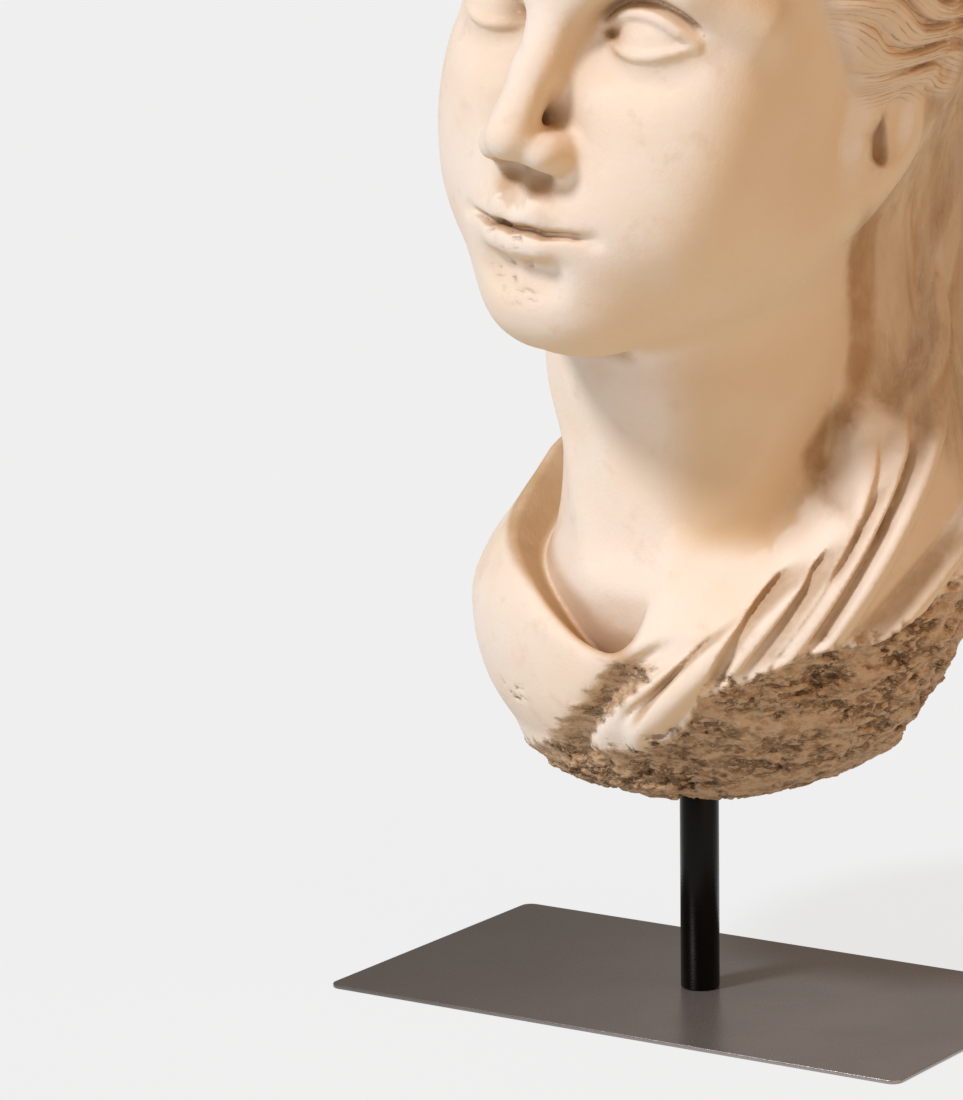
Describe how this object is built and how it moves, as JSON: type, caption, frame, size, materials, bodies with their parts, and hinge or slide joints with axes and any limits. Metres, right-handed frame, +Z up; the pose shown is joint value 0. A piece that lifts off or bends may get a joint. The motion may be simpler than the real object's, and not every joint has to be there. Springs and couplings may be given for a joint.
{
  "type": "resin bust",
  "caption": "Resin bust of a veiled classical head with gathered cloth round the neck, held on a round steel rod over a thin rectangular steel plate.",
  "frame": {"origin": "centre of the plate's underside, on the surface it stands on", "axes": "+Z up; the plate's long sides run along X; the chest faces -Y and the bared ear that the picture shows is on the +X side"},
  "size_m": [0.25, 0.2489, 0.5048],
  "materials": {
    "cast_resin": "matte, stone-like, cream with brown wash in the hollows and breaks",
    "dark_steel": "satin black-brown",
    "plate_steel": "satin dark grey-brown"
  },
  "bodies": {
    "root": {"bust": "cast_resin", "rod": "dark_steel", "base_plate": "plate_steel"}
  },
  "joints": []
}
